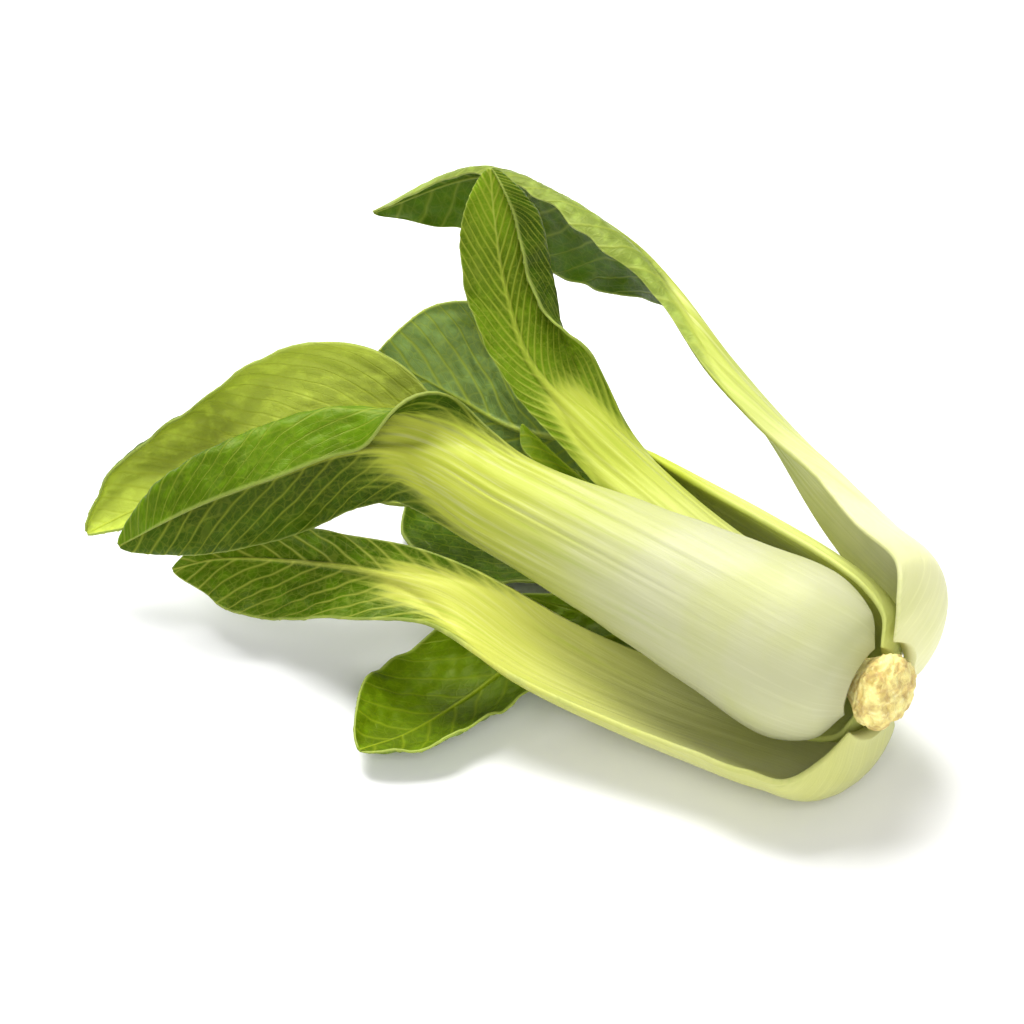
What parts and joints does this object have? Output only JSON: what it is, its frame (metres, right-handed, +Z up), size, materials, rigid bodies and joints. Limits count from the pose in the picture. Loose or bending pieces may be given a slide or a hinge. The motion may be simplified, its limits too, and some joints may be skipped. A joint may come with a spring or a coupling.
{
  "type": "bok choy head",
  "caption": "Whole head of baby bok choy lying on its side, with pale cupped stalks round a root stub and green waved blades.",
  "frame": {"origin": "on the surface the head lies on, under the middle of its bounding box", "axes": "+X from the leaf tips to the root end, +Z up from the surface, +Y to the head's far side as seen by the picture's camera"},
  "size_m": [0.1684, 0.1096, 0.086],
  "materials": {
    "root_stub": "dry corky",
    "leaf_front": "smooth, slightly waxy",
    "leaf_low": "smooth, slightly waxy",
    "leaf_arch": "smooth, slightly waxy",
    "leaf_top": "smooth, slightly waxy",
    "leaf_back": "smooth, slightly waxy",
    "leaf_tip": "smooth, slightly waxy",
    "leaf_cup": "smooth, slightly waxy",
    "leaf_under": "smooth, slightly waxy",
    "leaf_heart": "smooth, slightly waxy"
  },
  "bodies": {
    "root": {"root_stub": "root_stub", "leaf_front": "leaf_front", "leaf_low": "leaf_low", "leaf_arch": "leaf_arch", "leaf_top": "leaf_top", "leaf_back": "leaf_back", "leaf_tip": "leaf_tip", "leaf_cup": "leaf_cup", "leaf_under": "leaf_under", "leaf_heart": "leaf_heart"}
  },
  "joints": []
}
